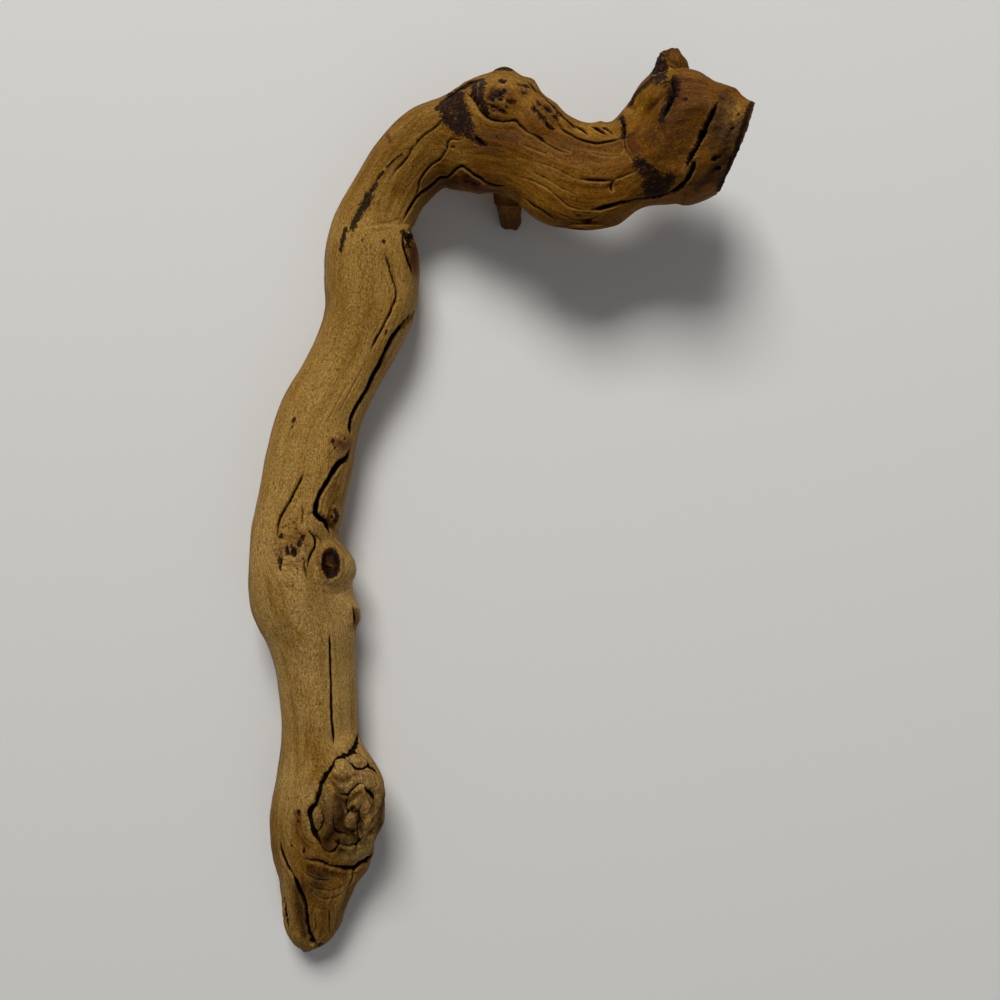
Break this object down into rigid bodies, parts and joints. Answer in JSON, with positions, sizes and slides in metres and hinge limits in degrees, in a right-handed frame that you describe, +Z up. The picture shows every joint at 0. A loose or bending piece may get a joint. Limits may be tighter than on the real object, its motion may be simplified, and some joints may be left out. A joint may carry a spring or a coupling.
{
  "type": "piece of driftwood",
  "caption": "Crooked piece of weathered vine driftwood with a burl, knots, drying splits, a hooked arm and a broken end; it lies on three low points as decoration or a perch.",
  "frame": {"origin": "middle of the bounding box, on the surface that the piece lies on", "axes": "+Y runs from the foot tip towards the hooked arm, +X towards the broken end, +Z up"},
  "size_m": [0.2401, 0.4363, 0.0861],
  "materials": {
    "wood": "bare weathered wood, tan stem and deeper brown arm, dry and matt"
  },
  "bodies": {
    "root": {"driftwood": "wood"}
  },
  "joints": []
}
